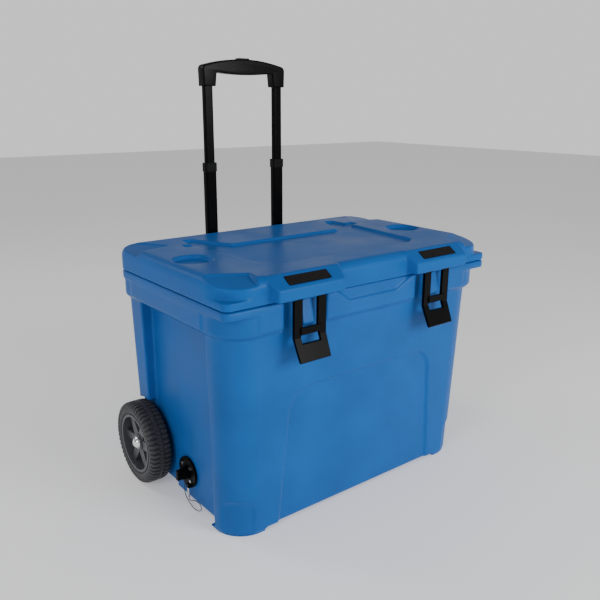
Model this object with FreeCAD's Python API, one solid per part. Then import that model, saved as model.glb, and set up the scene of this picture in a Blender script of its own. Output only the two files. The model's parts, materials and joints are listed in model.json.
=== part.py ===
import FreeCAD, Part
import math
import os

from FreeCAD import Vector

# Wheeled hard cooler, millimetres. X runs along the long side, -Y is the front with the latches,
# +Z is up, and the drain is on the -X end. The origin is the centre of the footprint, on the ground.

# ---- driving dimensions: tub -------------------------------------------------------------
RIM_X = 320.0            # half length over the rim
RIM_FRONT = -200.0       # front face of the rim
RIM_REAR = 202.0         # rear face of the rim
RIM_TOP = 437.0
FLANGE_H = 15.0          # height of the rim flange
FLANGE_FRONT_R = 14.0    # nearly square front corners of the flange
FRONT_R = 60.0           # soft front corners of the walls
REAR_R = 42.0            # rear corners of the rim
WALL_REAR_R = 28.0       # rear corners of the lower walls
BAND_BOTTOM = 382.0      # lower edge of the thick band under the rim
BAND_INSET = 3.0
WALL_TOP_X = 308.0
WALL_TOP_FRONT = -188.0
WALL_TOP_REAR = 190.0
WALL_BASE_X = 300.0
WALL_BASE_FRONT = -174.0
WALL_BASE_REAR = 182.0
BASE_Z = 7.0             # underside between the feet
SKIN = 5.0               # moulded wall of the tub and lid
CAVITY_FLOOR = 52.0
CAVITY_X = 258.0
CAVITY_FRONT = -147.0
CAVITY_REAR = 153.0
CAVITY_DRAFT = 8.0
FOAM_CORNER = 24.0       # inner corner radius of the insulation
FOAM_X = 232.0           # where the corner boards meet the front and rear boards
FOAM_FRONT = -121.0      # where the corner boards meet the end boards
FOAM_REAR = 127.0
BOARD_GAP = 0.2          # joint between two boards

END_FLOOR_X = 284.0      # floor of the recess in each end wall
END_RECESS_FRONT = -107.0
END_RECESS_REAR = 123.0
PANEL_DEPTH = 4.0        # recess of the front panel
PANEL_TOP = 268.0
PANEL_TOP_X = 177.0
PANEL_BASE_X = 200.0
PANEL_R = 45.0
RAISED_PANEL_X = 253.0   # half length of the raised front of the band
FOOT_X = 222.0
FOOT_BACK = -94.0
FOOT_PAD = 3.0           # thickness of the wear pads under the feet
FOOT_RECESS_X = 252.0
FOOT_RECESS_BACK = -136.0
FOOT_RECESS_TOP = 72.0
FOOT_RECESS_DEPTH = 3.0

# ---- latches -----------------------------------------------------------------------------
LATCH_X = 158.0
LATCH_HALF = 34.0
LATCH_GAP = 17.0         # half width of the opening between the arms, above the bar
LATCH_WINDOW = 20.5      # half width of the finger window below the bar
LATCH_PIN_Y = -209.0
LATCH_PIN_Z = 444.0
LATCH_PIN_R = 2.5
LATCH_EYE_R = 5.5
LATCH_BEND_Z = 372.0
LATCH_TIP_Y = -228.0
LATCH_TIP_Z = 333.0
RECESS_HALF = 46.0       # recess in the band behind each latch
KEEPER_HALF = 13.5
KEEPER_BOTTOM = 391.0
KEEPER_TIP_Y = -207.0
BAR_BACK_Y = -208.5      # the latch bar stands just in front of the keeper

# ---- lid ---------------------------------------------------------------------------------
LID_BOTTOM = 438.5
LID_FLANGE_TOP = 452.0
LID_TOP = 484.0
LID_SHOULDER_R = 18.0
BOSS_X = 160.0
BOSS_HALF = 70.0
BOSS_FRONT = -222.0
BOSS_BOTTOM = 443.0
BOSS_SLOPE_FOOT = 466.0
BOSS_SLOPE_TOP_Y = -192.0
PAD_LENGTH = 90.0
PAD_WIDTH = 20.0
PAD_POCKET = 2.5
TOP_RECESS = 5.0
CUP_X = 266.0
CUP_Y = -12.0
CUP_R = 36.0
CUP_DEPTH = 8.0
HINGE_X = 240.0
HINGE_Y = 188.0
HINGE_Z = 470.0
HINGE_PIN_R = 3.0
KNUCKLE_R = 7.0
RUNNING = 0.05           # radial clearance of a running fit

# ---- wheels ------------------------------------------------------------------------------
WHEEL_R = 84.4
WHEEL_Y = 134.4
TYRE_IN = 293.0          # inner face of the tyre
TYRE_OUT = 337.0
RIM_R = 60.0
HUB_R = 17.0
HUB_OUT = 328.0
BUSH_R = 10.0
AXLE_R = 6.0
AXLE_HEAD_END = 338.5
WELL_FLOOR_X = 286.0
WELL_R = 89.0
SPOKES = 6

# ---- pull handle -------------------------------------------------------------------------
TUBE_X = 88.0
TUBE_Y = 218.0
OUTER = (31.0, 21.0)     # fixed tube, width along X and depth along Y
MIDDLE = (26.0, 16.5)
INNER = (21.0, 12.5)
TUBE_WALL = 1.4
OUTER_SPAN = (40.0, 436.0)
MIDDLE_SPAN = (375.0, 622.0)
INNER_SPAN = (560.0, 808.0)
MIDDLE_TOP = 628.0       # top of the collar on the middle tube
SLIDE_GAP = 0.3          # clearance round a sliding tube
REAR_EXTREME = 230.0
GRIP_X = 103.0
GRIP_BASE = 783.0
GRIP_CROWN = 838.0
GRIP_UNDER = 807.5
GRIP_DEPTH = 24.0
BUTTON_TOP = 840.5

# ---- drain -------------------------------------------------------------------------------
DRAIN_Y = 2.0
DRAIN_Z = 63.0           # axis of the drain tube and its flange
FLANGE_R = 31.0
DRAIN_R = 10.0
DRAIN_BORE_R = 7.5
WIRE_D = 1.6             # tether of the drain plug


def box(x0, x1, y0, y1, z0, z1):
    return Part.makeBox(x1 - x0, y1 - y0, z1 - z0, Vector(x0, y0, z0))


def cylinder(radius, x0, x1, y, z):
    """A cylinder along X from x0 to x1."""
    return Part.makeCylinder(radius, x1 - x0, Vector(x0, y, z), Vector(1, 0, 0))


def rounded_outline(x0, x1, y0, y1, front_r, rear_r, z):
    """A rectangle in plan with one radius on its front corners and one on its rear corners."""
    corners = [
        (x0 + front_r, y0 + front_r, front_r, 180.0),
        (x1 - front_r, y0 + front_r, front_r, 270.0),
        (x1 - rear_r, y1 - rear_r, rear_r, 0.0),
        (x0 + rear_r, y1 - rear_r, rear_r, 90.0),
    ]
    arcs = []
    for cx, cy, radius, start in corners:
        points = []
        for turn in (0.0, 45.0, 90.0):
            angle = math.radians(start + turn)
            points.append(Vector(cx + radius * math.cos(angle), cy + radius * math.sin(angle), z))
        arcs.append(points)
    edges = []
    for index, points in enumerate(arcs):
        edges.append(Part.Arc(*points).toShape())
        following = arcs[(index + 1) % len(arcs)][0]
        edges.append(Part.LineSegment(points[2], following).toShape())
    return Part.Wire(edges)


def rounded_prism(x0, x1, y0, y1, front_r, rear_r, z0, z1):
    face = Part.Face(rounded_outline(x0, x1, y0, y1, front_r, rear_r, z0))
    return face.extrude(Vector(0, 0, z1 - z0))


def rounded_loft(low, high):
    """A ruled solid between two outlines, each given as rounded_outline's arguments."""
    return Part.makeLoft([rounded_outline(*low), rounded_outline(*high)], True, True)


def polygon_prism(points, direction):
    """Extrudes a closed polygon of 3-D points along a vector."""
    corners = [Vector(*point) for point in points]
    return Part.Face(Part.makePolygon(corners + [corners[0]])).extrude(Vector(*direction))


def side_prism(profile, x0, x1):
    """Extrudes a profile of (y, z) points from x0 to x1."""
    return polygon_prism([(x0, y, z) for y, z in profile], (x1 - x0, 0, 0))


def plan_prism(outline, z0, z1):
    """Extrudes an outline of (x, y) points from z0 to z1."""
    return polygon_prism([(x, y, z0) for x, y in outline], (0, 0, z1 - z0))


def revolve_about_x(profile, y, z):
    """Turns a closed profile of (x, radius) points about an axis along X through (y, z)."""
    corners = [Vector(x, y, z + radius) for x, radius in profile]
    face = Part.Face(Part.makePolygon(corners + [corners[0]]))
    return face.revolve(Vector(0, y, z), Vector(1, 0, 0), 360)


def tube_section(size, x, z0, z1, radius):
    """A solid bar of rounded rectangular section on the handle's plane."""
    half_x = size[0] / 2
    half_y = size[1] / 2
    return rounded_prism(
        x - half_x, x + half_x, TUBE_Y - half_y, TUBE_Y + half_y, radius, radius, z0, z1
    )


def grown(size, amount):
    return (size[0] + 2 * amount, size[1] + 2 * amount)


def hollow_tube(outside, inside, x, z0, z1):
    corner = outside[1] * 0.28
    bore_corner = max(1.0, corner - (outside[1] - inside[1]) / 2)
    return tube_section(outside, x, z0, z1, corner).cut(tube_section(inside, x, z0 - 1, z1 + 1, bore_corner))


def mirrored(shape):
    """The same piece on the other side of the middle plane."""
    return shape.mirror(Vector(0, 0, 0), Vector(1, 0, 0))


def pair(shape):
    """A left-hand piece and its mirror image as one node."""
    return Part.makeCompound([shape, mirrored(shape)])


def both_sides(shape):
    return shape.fuse(mirrored(shape))


def with_void(outer, core):
    """A solid with a sealed hollow of the core's shape inside it."""
    hollow = core.Solids[0].OuterShell.copy()
    hollow.reverse()
    return Part.makeSolid(Part.Compound([outer.Solids[0].OuterShell, hollow]))


def front_wall_y(z):
    """Y of the sloping front wall at a height."""
    share = (z - BASE_Z) / (BAND_BOTTOM - BASE_Z)
    return WALL_BASE_FRONT + share * (WALL_TOP_FRONT - WALL_BASE_FRONT)


# ---- tub ---------------------------------------------------------------------------------
def wall_block():
    """Outer form of the tub before the recesses: tapered walls, band and rim flange."""
    base = (-WALL_BASE_X, WALL_BASE_X, WALL_BASE_FRONT, WALL_BASE_REAR, FRONT_R, WALL_REAR_R, BASE_Z)
    top = (-WALL_TOP_X, WALL_TOP_X, WALL_TOP_FRONT, WALL_TOP_REAR, FRONT_R, WALL_REAR_R, BAND_BOTTOM)
    inset = BAND_INSET
    band_x = RIM_X - inset
    chamfer = 7.0
    lip = (
        -band_x + chamfer, band_x - chamfer, RIM_FRONT + inset + chamfer, RIM_REAR - inset - chamfer,
        FRONT_R - chamfer, REAR_R - chamfer, BAND_BOTTOM,
    )
    band_low = (
        -band_x, band_x, RIM_FRONT + inset, RIM_REAR - inset, FRONT_R, REAR_R - inset,
        BAND_BOTTOM + chamfer,
    )
    band = rounded_prism(*band_low, RIM_TOP)
    flange = rounded_prism(
        -RIM_X, RIM_X, RIM_FRONT, RIM_REAR, FLANGE_FRONT_R, REAR_R, RIM_TOP - FLANGE_H, RIM_TOP
    )
    block = rounded_loft(base, top)
    for piece in (rounded_loft(lip, band_low), band, flange):
        block = block.fuse(piece)
    return block


def raised_band_panels():
    """Shallow raised panels on the front and ends of the band, between its plain corners."""
    proud = 2.0
    inset = BAND_INSET - proud
    front = box(
        -RAISED_PANEL_X, RAISED_PANEL_X, RIM_FRONT + inset, RIM_FRONT + 20, BAND_BOTTOM + 9, RIM_TOP - 5
    )
    end = box(-RIM_X + inset, -RIM_X + 20, -122.0, 140.0, BAND_BOTTOM + 9, RIM_TOP - 5)
    return [front, end, mirrored(end)]


def foot_block():
    """Front corner feet, which carry the front while the wheels carry the rear."""
    outline = rounded_prism(
        -WALL_BASE_X + 2, WALL_BASE_X - 2, WALL_BASE_FRONT + 2, WALL_BASE_REAR, FRONT_R, WALL_REAR_R,
        FOOT_PAD, BASE_Z + 1,
    )
    corner = plan_prism(
        [(-RIM_X, RIM_FRONT), (-FOOT_X, RIM_FRONT), (-FOOT_X - 12, FOOT_BACK), (-RIM_X, FOOT_BACK)],
        -1, BASE_Z + 2,
    )
    return outline.common(corner.fuse(mirrored(corner)))


def front_panel_cut():
    """The large arched panel pressed into the front wall, open at its foot."""
    draft = (PANEL_BASE_X - PANEL_TOP_X) / (PANEL_TOP - BASE_Z)
    shoulder_z = PANEL_TOP - PANEL_R
    shoulder_x = PANEL_TOP_X + draft * PANEL_R
    lean = math.sqrt(0.5) * PANEL_R
    arc_mid = (shoulder_x - PANEL_R + lean, shoulder_z + lean)
    y = RIM_FRONT - 30
    foot_left = Vector(-PANEL_BASE_X, y, BASE_Z - 8)
    foot_right = Vector(PANEL_BASE_X, y, BASE_Z - 8)
    left = Vector(-shoulder_x, y, shoulder_z)
    right = Vector(shoulder_x, y, shoulder_z)
    top_left = Vector(-shoulder_x + PANEL_R, y, PANEL_TOP)
    top_right = Vector(shoulder_x - PANEL_R, y, PANEL_TOP)
    edges = [
        Part.LineSegment(foot_left, left).toShape(),
        Part.Arc(left, Vector(-arc_mid[0], y, arc_mid[1]), top_left).toShape(),
        Part.LineSegment(top_left, top_right).toShape(),
        Part.Arc(top_right, Vector(arc_mid[0], y, arc_mid[1]), right).toShape(),
        Part.LineSegment(right, foot_right).toShape(),
        Part.LineSegment(foot_right, foot_left).toShape(),
    ]
    prism = Part.Face(Part.Wire(edges)).extrude(Vector(0, 150, 0))
    low = BASE_Z - 10
    high = BAND_BOTTOM
    slab = side_prism(
        [
            (y - 5, low), (front_wall_y(low) + PANEL_DEPTH, low),
            (front_wall_y(high) + PANEL_DEPTH, high), (y - 5, high),
        ],
        -RIM_X, RIM_X,
    )
    return prism.common(slab)


def foot_recess_cuts():
    """Shallow wear recess wrapped round each front corner above the foot."""
    radius = 20.0
    low = -1.0
    top = FOOT_RECESS_TOP
    lean = radius * (1 - math.sqrt(0.5))

    def rounded_tab(make, outer, inner, direction):
        points = [
            make(outer, low), make(inner, low), make(inner, top - radius),
            make(inner - math.copysign(lean, inner - outer), top - lean),
            make(inner - math.copysign(radius, inner - outer), top), make(outer, top),
        ]
        edges = [
            Part.LineSegment(points[0], points[1]).toShape(),
            Part.LineSegment(points[1], points[2]).toShape(),
            Part.Arc(points[2], points[3], points[4]).toShape(),
            Part.LineSegment(points[4], points[5]).toShape(),
            Part.LineSegment(points[5], points[0]).toShape(),
        ]
        return Part.Face(Part.Wire(edges)).extrude(direction)

    front = rounded_tab(
        lambda x, z: Vector(x, RIM_FRONT - 30, z), -RIM_X - 20, -FOOT_RECESS_X, Vector(0, 300, 0)
    )
    side = rounded_tab(
        lambda y, z: Vector(-RIM_X - 30, y, z), RIM_FRONT - 20, FOOT_RECESS_BACK, Vector(300, 0, 0)
    )
    depth = FOOT_RECESS_DEPTH
    kept = rounded_loft(
        (-WALL_BASE_X + depth, WALL_BASE_X - depth, WALL_BASE_FRONT + depth, WALL_BASE_REAR,
         FRONT_R - depth, WALL_REAR_R, BASE_Z - 10),
        (-WALL_BASE_X - 2 + depth, WALL_BASE_X + 2 - depth, front_wall_y(90) + depth, WALL_BASE_REAR,
         FRONT_R - depth, WALL_REAR_R, 90.0),
    )
    return both_sides(front.common(side).cut(kept))


def end_cuts():
    """Recess in each end wall, finger pocket under the band, and wheel well behind it."""
    recess = plan_prism(
        [
            (-RIM_X - 20, END_RECESS_FRONT - 20), (-END_FLOOR_X, END_RECESS_FRONT),
            (-END_FLOOR_X, END_RECESS_REAR), (-RIM_X - 20, END_RECESS_REAR),
        ],
        -1, BAND_BOTTOM,
    )
    pocket = box(-304, -END_FLOOR_X, -60, 70, BAND_BOTTOM - 1, BAND_BOTTOM + 24)
    arch = cylinder(WELL_R, -RIM_X - 30, -WELL_FLOOR_X, WHEEL_Y, WHEEL_R)
    below = box(-RIM_X - 30, -WELL_FLOOR_X, WHEEL_Y - WELL_R, RIM_REAR + 30, -1, WHEEL_R)
    cut = recess
    for piece in (pocket, arch, below):
        cut = cut.fuse(piece)
    return both_sides(cut)


def latch_recess(centre):
    return box(
        centre - RECESS_HALF, centre + RECESS_HALF, RIM_FRONT - 5, WALL_TOP_FRONT - 0.5,
        BAND_BOTTOM - 1, RIM_TOP + 1,
    )


def keeper(centre):
    """Moulded tongue that the latch bar closes over."""
    profile = [
        (-186, RIM_TOP - 1), (RIM_FRONT + 2, RIM_TOP - 1), (KEEPER_TIP_Y, KEEPER_BOTTOM + 5),
        (KEEPER_TIP_Y + 1.5, KEEPER_BOTTOM), (-186, KEEPER_BOTTOM),
    ]
    return side_prism(profile, centre - KEEPER_HALF, centre + KEEPER_HALF)


def scoop_cut():
    """Shallow finger scoop in the band between the latches, under the lid's edge."""
    outline = [(-88, RIM_TOP + 1), (-58, 414), (62, 414), (104, RIM_TOP + 1)]
    points = [(x, RIM_FRONT - 5, z) for x, z in outline]
    return polygon_prism(points, (0, 5 + 5.5, 0))


def hinge_recess(centre):
    return box(centre - 20.5, centre + 20.5, 180.5, RIM_REAR + 5, 395.5, RIM_TOP + 1)


def cavity(offset, low_r=40.0, high_r=45.0):
    """The ice chest's inside, grown by an offset."""
    grow = offset
    return rounded_loft(
        (-CAVITY_X + CAVITY_DRAFT - grow, CAVITY_X - CAVITY_DRAFT + grow,
         CAVITY_FRONT + CAVITY_DRAFT - grow, CAVITY_REAR - CAVITY_DRAFT + grow,
         low_r, low_r, CAVITY_FLOOR - grow),
        (-CAVITY_X - grow, CAVITY_X + grow, CAVITY_FRONT - grow, CAVITY_REAR + grow,
         high_r, high_r, RIM_TOP + 2),
    )


def body_foam():
    """Insulation sealed between the tub's skins, thicker in the band under the rim."""
    walls = rounded_prism(-278, 278, -166, 175, 50, 24, 23, 390)
    band = rounded_prism(-309, 309, -189, 191, 52, 32, 390, RIM_TOP - 6)
    foam = walls.fuse(band).cut(cavity(SKIN, FOAM_CORNER, FOAM_CORNER))
    cuts = [cylinder(DRAIN_R + 7.5, -300, -230, DRAIN_Y, DRAIN_Z)]
    axle = cylinder(18, -300, -232, WHEEL_Y, WHEEL_R)
    pocket = box(-330, -279, -67, 77, 380, 411)
    cuts += [axle, mirrored(axle), pocket, mirrored(pocket)]
    for centre in (-HINGE_X, HINGE_X):
        cuts.append(box(centre - 27, centre + 27, 150, 230, 380, RIM_TOP))
    for centre in (-LATCH_X, LATCH_X):
        half = RECESS_HALF + 5
        cuts.append(box(centre - half, centre + half, -200, -182, 380, RIM_TOP))
    for cut in cuts:
        foam = foam.cut(cut)
    return foam


def foam_cells():
    """Where the insulation is parted: base, front, rear, four corners, and each end in steps."""
    far, top = 400, 500
    floor = CAVITY_FLOOR - SKIN
    cells = [(-far, far, -far, far, 0, floor)]
    cells += [(-FOAM_X, FOAM_X, -far, FOAM_FRONT, floor, top), (-FOAM_X, FOAM_X, FOAM_REAR, far, floor, top)]
    for low, high in ((-far, -FOAM_X), (FOAM_X, far)):
        cells += [(low, high, -far, FOAM_FRONT, floor, top), (low, high, FOAM_REAR, far, floor, top)]
        cells.append((low, high, FOAM_FRONT, FOAM_REAR, floor, 390))
        cells.append((low, high, FOAM_FRONT, FOAM_REAR, 411, top))
        for front, rear in ((FOAM_FRONT, -67), (-67, 77), (77, FOAM_REAR)):
            cells.append((low, high, front, rear, 390, 411))
    return cells


def foam_boards(foam):
    """The insulation as the separate boards it is fitted in."""
    gap = BOARD_GAP / 2
    boards = []
    for x0, x1, y0, y1, z0, z1 in foam_cells():
        board = foam.common(box(x0 + gap, x1 - gap, y0 + gap, y1 - gap, z0 + gap, z1 - gap))
        boards += board.Solids
    return Part.makeCompound(boards)


def foot_pad():
    """Hard plastic wear pad under the front corner foot on the -X side."""
    outline = rounded_prism(
        -WALL_BASE_X + 4, WALL_BASE_X - 4, WALL_BASE_FRONT + 4, WALL_BASE_REAR, FRONT_R - 2, WALL_REAR_R,
        0, FOOT_PAD,
    )
    corner = plan_prism(
        [
            (-RIM_X, RIM_FRONT), (-FOOT_X - 2, RIM_FRONT), (-FOOT_X - 13, FOOT_BACK - 2),
            (-RIM_X, FOOT_BACK - 2),
        ],
        -1, FOOT_PAD + 1,
    )
    return outline.common(corner)


def body_shell(foam):
    """The rotomoulded tub: one hollow piece of plastic round its foam."""
    shell = wall_block()
    for panel in raised_band_panels():
        shell = shell.fuse(panel)
    shell = shell.fuse(foot_block())
    cuts = [front_panel_cut(), foot_recess_cuts(), end_cuts(), scoop_cut(), cavity(0)]
    cuts += [latch_recess(-LATCH_X), latch_recess(LATCH_X)]
    cuts += [hinge_recess(-HINGE_X), hinge_recess(HINGE_X)]
    cuts.append(box(-RIM_X, RIM_X, 53, RIM_REAR + 30, -1, 17))
    cuts.append(cylinder(DRAIN_R + 0.2, -300, -230, DRAIN_Y, DRAIN_Z))
    insert = cylinder(9, -WELL_FLOOR_X - 1, -WELL_FLOOR_X + 22, WHEEL_Y, WHEEL_R)
    cuts += [insert, mirrored(insert)]
    for cut in cuts:
        shell = shell.cut(cut)
    for centre in (-LATCH_X, LATCH_X):
        shell = shell.fuse(keeper(centre))
    return with_void(shell.removeSplitter(), foam)


# ---- lid ---------------------------------------------------------------------------------
def lid_boss(centre):
    """Thick block on the lid's front that carries a latch."""
    plan = plan_prism(
        [
            (centre - BOSS_HALF - 8, RIM_FRONT + 1), (centre - BOSS_HALF, BOSS_FRONT),
            (centre + BOSS_HALF, BOSS_FRONT), (centre + BOSS_HALF + 8, RIM_FRONT + 1),
            (centre + BOSS_HALF + 8, -150), (centre - BOSS_HALF - 8, -150),
        ],
        BOSS_BOTTOM, LID_TOP + 5,
    )
    profile = [
        (-150, BOSS_BOTTOM), (BOSS_FRONT, BOSS_BOTTOM), (BOSS_FRONT, BOSS_SLOPE_FOOT - 3),
        (BOSS_FRONT + 2.5, BOSS_SLOPE_FOOT), (BOSS_SLOPE_TOP_Y, LID_TOP), (-150, LID_TOP),
    ]
    return plan.common(side_prism(profile, centre - 100, centre + 100))


def slope_block(length, width, low, high):
    """A block lying on the bosses' sloping top, between two heights above it, centred at X 0."""
    run = BOSS_SLOPE_TOP_Y - BOSS_FRONT
    rise = LID_TOP - BOSS_SLOPE_FOOT + 1.5
    angle = math.degrees(math.atan2(rise, run))
    block = Part.makeBox(length, width, high - low, Vector(-length / 2, -width / 2, low))
    block.rotate(Vector(0, 0, 0), Vector(1, 0, 0), angle)
    middle_y = BOSS_FRONT + 0.52 * run
    block.translate(Vector(0, middle_y, BOSS_SLOPE_FOOT - 1.5 + 0.52 * rise))
    return block


def moved(shape, x):
    copy = shape.copy()
    copy.translate(Vector(x, 0, 0))
    return copy


def lid_pad(centre):
    """Dark grip pad set into a boss."""
    pad = slope_block(PAD_LENGTH - 0.6, PAD_WIDTH - 0.6, -PAD_POCKET + 0.1, 0.6)
    return moved(pad, centre)


def facet_cut(outline, start, end, level, fall):
    """Removes what stands above a plane that falls away outwards from one edge of an outline."""
    along = Vector(end[0] - start[0], end[1] - start[1], 0)
    outward = Vector(along.y, -along.x, 0)
    if outward.x > 0:
        outward = outward * -1
    outward.normalize()
    reach = 140.0
    first = Vector(start[0], start[1], level) - along
    wedge = [
        tuple(first), tuple(first + outward * reach - Vector(0, 0, fall)),
        tuple(first + outward * reach + Vector(0, 0, 40)), tuple(first + Vector(0, 0, 40)),
    ]
    return polygon_prism(wedge, tuple(along * 3)).common(plan_prism(outline, 430, LID_TOP + 20))


def corner_facets():
    """Flat facets that lower the lid's corners on the -X side."""
    front = [(-345, -104), (-320, -117), (-245, -157), (-250, -183), (-262, -230), (-345, -230)]
    rear = [(-345, 100), (-241, 123), (-271, 175), (-277, 230), (-345, 230)]
    return [
        facet_cut(front, (-320, -117), (-245, -157), LID_TOP - 2.5, 30.0),
        facet_cut(rear, (-241, 123), (-271, 175), LID_TOP - 1.5, 16.0),
    ]


def top_relief_cuts():
    """Pressed areas of the lid's top: centre recess round the rear plate, and cup holders."""
    top = LID_TOP + 5
    floor = LID_TOP - TOP_RECESS
    recess = plan_prism(
        [(-196, 150), (-204, 90), (-186, -112), (-160, -134), (160, -134), (186, -112), (204, 90), (196, 150)],
        floor, top,
    )
    plate = plan_prism([(-180, 156), (-137, 62), (137, 62), (180, 156)], floor - 1, top + 1)
    notch = plan_prism([(-222, 108), (-222, 88), (-202, 88), (-202, 108)], LID_TOP - 4, top)
    cuts = [recess.cut(plate), notch, mirrored(notch)]
    cup = Part.makeCone(CUP_R - 2, CUP_R + 1, CUP_DEPTH + 2, Vector(CUP_X, CUP_Y, LID_TOP - CUP_DEPTH))
    cuts += [cup, mirrored(cup)]
    return cuts


def latch_pocket(centre):
    """Pocket under a boss for the latch eyes, with a lug left between them."""
    wide = LATCH_HALF + 1
    half = LATCH_GAP - 2
    pocket = box(centre - wide, centre + wide, -219, RIM_FRONT - 0.5, BOSS_BOTTOM - 5, 451)
    lug = box(centre - half, centre + half, LATCH_PIN_Y - 5, RIM_FRONT, LATCH_PIN_Z, 452)
    lug = lug.fuse(cylinder(LATCH_EYE_R, centre - half, centre + half, LATCH_PIN_Y, LATCH_PIN_Z))
    lug = lug.fuse(
        box(centre - half, centre + half, LATCH_PIN_Y, RIM_FRONT + 1, LATCH_PIN_Z - LATCH_EYE_R, LATCH_PIN_Z + 1)
    )
    for side in (-1, 1):
        inner = centre + side * wide
        outer = centre + side * (wide + 7.5)
        cheek = box(min(inner, outer), max(inner, outer), -215, RIM_FRONT, 439.5, 446)
        lug = lug.fuse(cheek)
    return pocket, lug


def hinge_pocket(centre):
    """Pocket in the lid's rear for a hinge knuckle, open below and behind."""
    return box(centre - 22, centre + 22, HINGE_Y - 9, RIM_REAR + 5, LID_BOTTOM - 1, 478.5)


def lid_plug(offset, z0, z1):
    """The part of the lid that drops into the cavity."""
    return rounded_prism(-250 + offset, 250 - offset, -139 + offset, 145 - offset, 36, 36, z0, z1)


def lid_foam():
    upper = rounded_prism(-308, 308, -190, 172, 60, 45, 445, 470)
    return upper.fuse(lid_plug(5, 429, 446)).removeSplitter()


def gasket_ring(inside, outside, z0, z1):
    outer = rounded_prism(-outside, outside, CAVITY_FRONT - outside + CAVITY_X, CAVITY_REAR + outside - CAVITY_X,
                          50, 50, z0, z1)
    inner = rounded_prism(-inside, inside, CAVITY_FRONT - inside + CAVITY_X, CAVITY_REAR + inside - CAVITY_X,
                          44, 44, z0 - 1, z1 + 1)
    return outer.cut(inner)


def lid_shell(foam):
    """The hollow moulded lid."""
    flange = rounded_prism(
        -RIM_X, RIM_X, RIM_FRONT, RIM_REAR, FLANGE_FRONT_R, REAR_R, LID_BOTTOM, LID_FLANGE_TOP
    )
    dome = rounded_prism(-RIM_X, RIM_X, RIM_FRONT, RIM_REAR, FRONT_R, REAR_R, LID_BOTTOM + 1, LID_TOP)
    rim_edges = [e for e in dome.Edges if abs(e.BoundBox.ZMin - LID_TOP) < 1e-6]
    dome = dome.makeFillet(LID_SHOULDER_R, rim_edges)
    lid = flange.fuse(dome).fuse(lid_plug(0, 424, LID_BOTTOM + 1))
    for centre in (-BOSS_X, BOSS_X):
        lid = lid.fuse(lid_boss(centre))
    for cut in top_relief_cuts():
        lid = lid.cut(cut)
    for cut in corner_facets():
        lid = lid.cut(cut).cut(mirrored(cut))
    pad_pocket = slope_block(PAD_LENGTH, PAD_WIDTH, -PAD_POCKET, 12)
    rear_chamfer = side_prism(
        [(RIM_REAR + 1, LID_BOTTOM - 1), (RIM_REAR - 7, LID_BOTTOM - 1), (RIM_REAR + 1, LID_BOTTOM + 6)],
        -RIM_X, RIM_X,
    )
    lid = lid.cut(rear_chamfer).cut(gasket_ring(268, 286, LID_BOTTOM - 2, LID_BOTTOM + 2))
    for centre in (-LATCH_X, LATCH_X):
        pocket, lug = latch_pocket(centre)
        lid = lid.cut(pocket).fuse(lug)
        lid = lid.cut(cylinder(LATCH_PIN_R, centre - 44, centre + 44, LATCH_PIN_Y, LATCH_PIN_Z))
    for centre in (-BOSS_X, BOSS_X):
        lid = lid.cut(moved(pad_pocket, centre))
    for centre in (-HINGE_X, HINGE_X):
        lid = lid.cut(hinge_pocket(centre))
        lid = lid.cut(cylinder(HINGE_PIN_R + RUNNING, centre - 32.5, centre + 32.5, HINGE_Y, HINGE_Z))
    return with_void(lid.removeSplitter(), foam)


# ---- latches and hinges ------------------------------------------------------------------
def latch(centre):
    """Moulded latch: two arms on the pin, a bar over the keeper, and a turned-out pull flap."""
    back = LATCH_PIN_Y + 3.5
    front = LATCH_PIN_Y - 2.5
    profile = [
        (back, LATCH_PIN_Z), (front, LATCH_PIN_Z), (front, LATCH_BEND_Z + 1),
        (LATCH_TIP_Y, LATCH_TIP_Z + 2), (LATCH_TIP_Y + 1.5, LATCH_TIP_Z),
        (LATCH_TIP_Y + 5.5, LATCH_TIP_Z + 1), (back, LATCH_BEND_Z),
    ]
    frame = side_prism(profile, centre - LATCH_HALF, centre + LATCH_HALF)
    taper = polygon_prism(
        [
            (centre - LATCH_HALF - 1, -300, LATCH_BEND_Z - 4), (centre - LATCH_HALF, -300, LATCH_BEND_Z - 4),
            (centre - LATCH_HALF + 1.5, -300, LATCH_TIP_Z - 1), (centre - LATCH_HALF - 1, -300, LATCH_TIP_Z - 1),
        ],
        (0, 200, 0),
    )
    other = taper.mirror(Vector(centre, 0, 0), Vector(1, 0, 0))
    frame = frame.cut(taper).cut(other)
    frame = frame.fuse(
        cylinder(LATCH_EYE_R, centre - LATCH_HALF, centre + LATCH_HALF, LATCH_PIN_Y, LATCH_PIN_Z)
    )
    frame = frame.cut(box(centre - LATCH_GAP, centre + LATCH_GAP, -250, -190, 380, LATCH_PIN_Z + 10))
    frame = frame.cut(box(centre - LATCH_WINDOW, centre + LATCH_WINDOW, -250, -190, 361.7, 380.5))
    bar = box(centre - LATCH_WINDOW - 1, centre + LATCH_WINDOW + 1, -214, BAR_BACK_Y, 378, 390)
    frame = frame.fuse(bar)
    bore = cylinder(LATCH_PIN_R + RUNNING, centre - 50, centre + 50, LATCH_PIN_Y, LATCH_PIN_Z)
    return frame.cut(bore).removeSplitter()


def latch_pin(centre):
    half = LATCH_HALF + 6
    return cylinder(LATCH_PIN_R, centre - half, centre + half, LATCH_PIN_Y, LATCH_PIN_Z)


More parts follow.
